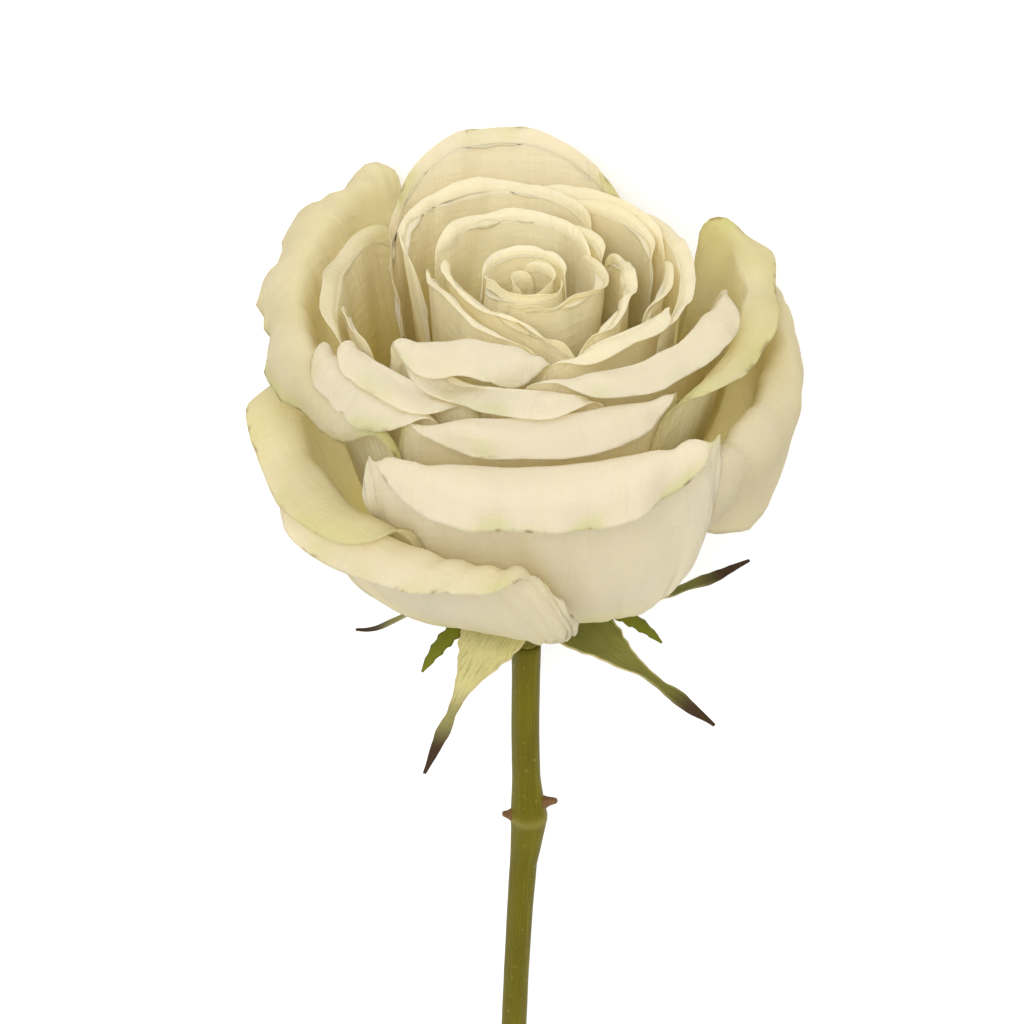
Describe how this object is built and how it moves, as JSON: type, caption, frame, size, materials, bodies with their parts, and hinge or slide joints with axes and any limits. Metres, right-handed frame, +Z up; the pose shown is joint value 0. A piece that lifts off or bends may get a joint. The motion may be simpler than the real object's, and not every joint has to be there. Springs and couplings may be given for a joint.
{
  "type": "cut rose lying down",
  "caption": "Full-blown cream garden-type cut rose with a rolled-back outer row, long sepals and a bare green stem, lying on its side.",
  "frame": {"origin": "middle of the bounding box on the ground: the flower lies on its outer petals and the cut end of its stem at Z = 0", "axes": "+Z up; +Y from the face of the flower along the stem to its cut end; +X across the flower"},
  "size_m": [0.1034, 0.3358, 0.1016],
  "materials": {
    "petal": "soft matte cream white with a faint sheen, yellower and slightly see-through deep between the petals, greenish and a little brown at the outer rims",
    "sepal": "dull green, paler and felted on the side toward the petals, drying brown at the tip",
    "stem": "green, satin, finely streaked along its length, with a yellowish joint and pale scars",
    "stub": "dry brown, matt"
  },
  "bodies": {
    "root": {"petal_low_front": "petal", "petal_under_right": "petal", "petal_low_left": "petal", "petal_under_left": "petal", "petal_front_outer": "petal", "petal_right_outer": "petal", "petal_left_outer": "petal", "petal_right_second": "petal", "petal_front_second": "petal", "petal_left_third": "petal", "petal_left_second": "petal", "petal_left_fourth": "petal", "petal_left_narrow": "petal", "petal_front_third": "petal", "petal_back_tall": "petal", "petal_right_third": "petal", "petal_right_fourth": "petal", "petal_back_right_outer": "petal", "petal_front_right_inner": "petal", "petal_right_narrow": "petal", "petal_back_right_inner": "petal", "petal_back_second": "petal", "petal_front_fourth": "petal", "petal_inner_right": "petal", "petal_inner_left_outer": "petal", "petal_inner_back_narrow": "petal", "petal_inner_back": "petal", "petal_inner_left": "petal", "petal_cup_right": "petal", "petal_heart_back": "petal", "petal_heart_front": "petal", "petal_heart_right": "petal", "petal_heart_centre": "petal", "sepal_front_left": "sepal", "sepal_front_right": "sepal", "sepal_right": "sepal", "sepal_under": "sepal", "sepal_left": "sepal", "hip": "stem", "stem": "stem", "prickle_stub_left": "stub", "prickle_stub_right": "stub"}
  },
  "joints": []
}
